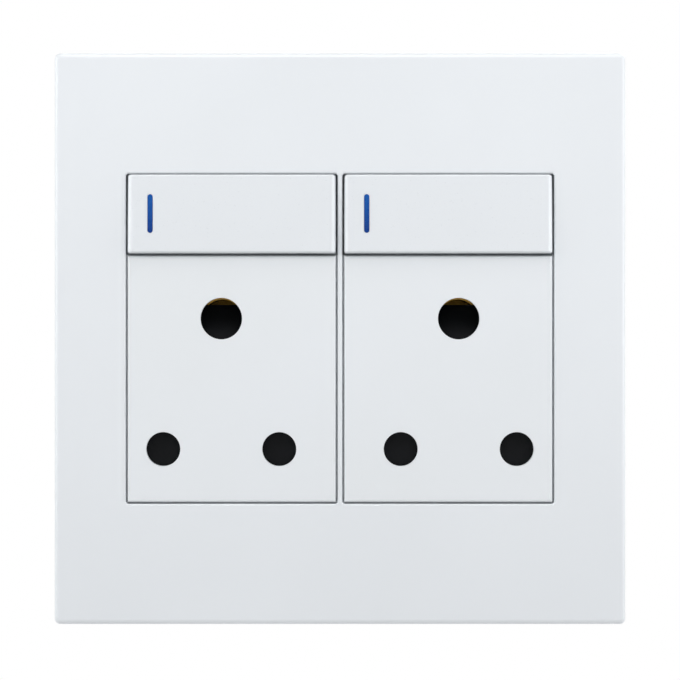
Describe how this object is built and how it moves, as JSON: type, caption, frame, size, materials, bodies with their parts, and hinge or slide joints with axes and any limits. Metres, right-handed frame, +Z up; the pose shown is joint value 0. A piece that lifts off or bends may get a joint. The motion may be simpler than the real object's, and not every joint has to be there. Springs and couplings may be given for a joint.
{
  "type": "double switched wall socket",
  "caption": "Square white wall plate with side-by-side switched socket modules: a wide rocker with a blue bar above round pin holes with shutters.",
  "frame": {"origin": "on the wall plane, midway between the two box fixing holes, behind the middle of the plate", "axes": "+X to the right seen from the front, +Z up, +Y into the wall; the face looks along -Y"},
  "size_m": [0.125, 0.0346, 0.125],
  "materials": {
    "white_plate_plastic": "moulded white plastic, satin",
    "white_face_plastic": "moulded white plastic, satin",
    "white_rocker_plastic": "moulded white plastic, satin",
    "frame_plastic": "moulded grey-white plastic, matt",
    "base_plastic": "moulded white plastic, matt",
    "blue_plastic": "moulded blue plastic, gloss",
    "black_nylon": "moulded black nylon, matt",
    "plunger_nylon": "natural nylon, matt",
    "contact_brass": "machined brass",
    "contact_copper": "stamped copper",
    "spring_steel": "drawn steel wire",
    "zinc_steel": "zinc-plated steel"
  },
  "bodies": {
    "housing": {"cover_plate": "white_plate_plastic", "mounting_frame": "frame_plastic", "socket_front_left": "white_face_plastic", "shutter_spring_left": "spring_steel", "neutral_contact_left": "contact_brass", "earth_contact_left": "contact_brass", "line_contact_left": "contact_brass", "line_terminal_left": "contact_brass", "terminal_screws_left": "zinc_steel", "base_left": "base_plastic", "socket_front_right": "white_face_plastic", "shutter_spring_right": "spring_steel", "neutral_contact_right": "contact_brass", "earth_contact_right": "contact_brass", "line_contact_right": "contact_brass", "line_terminal_right": "contact_brass", "terminal_screws_right": "zinc_steel", "base_right": "base_plastic"},
    "rocker_body_left": {"rocker_left": "white_rocker_plastic", "indicator_left": "blue_plastic", "plunger_left": "plunger_nylon", "plunger_spring_left": "spring_steel"},
    "shutter_body_left": {"shutter_left": "black_nylon"},
    "switch_body_left": {"switch_contact_left": "contact_copper"},
    "rocker_body_right": {"rocker_right": "white_rocker_plastic", "indicator_right": "blue_plastic", "plunger_right": "plunger_nylon", "plunger_spring_right": "spring_steel"},
    "shutter_body_right": {"shutter_right": "black_nylon"},
    "switch_body_right": {"switch_contact_right": "contact_copper"}
  },
  "joints": [
    {"name": "rocker_tilt_left", "type": "hinge", "parent": "housing", "child": "rocker_body_left", "pos_m": [-0.0237, -0.0058, 0.0271], "axis": [1, 0, 0], "range_deg": [0, 8]},
    {"name": "switch_rock_left", "type": "hinge", "parent": "housing", "child": "switch_body_left", "pos_m": [-0.0133, 0.00975, 0.0271], "axis": [1, 0, 0], "range_deg": [-12, 0]},
    {"name": "shutter_slide_left", "type": "slide", "parent": "housing", "child": "shutter_body_left", "axis": [0, 0, -1], "range_m": [0, 0.008], "stiffness_N_per_m": 60, "springref_m": -0.005, "deforming": ["shutter_spring_left"]},
    {"name": "rocker_tilt_right", "type": "hinge", "parent": "housing", "child": "rocker_body_right", "pos_m": [0.0237, -0.0058, 0.0271], "axis": [1, 0, 0], "range_deg": [0, 8]},
    {"name": "switch_rock_right", "type": "hinge", "parent": "housing", "child": "switch_body_right", "pos_m": [0.0387, 0.00975, 0.0271], "axis": [1, 0, 0], "range_deg": [-12, 0]},
    {"name": "shutter_slide_right", "type": "slide", "parent": "housing", "child": "shutter_body_right", "axis": [0, 0, -1], "range_m": [0, 0.008], "stiffness_N_per_m": 60, "springref_m": -0.005, "deforming": ["shutter_spring_right"]}
  ],
  "couplings": [
    {"joint": "switch_rock_left", "follows": "rocker_tilt_left", "ratio": -1.5},
    {"joint": "switch_rock_right", "follows": "rocker_tilt_right", "ratio": -1.5}
  ]
}
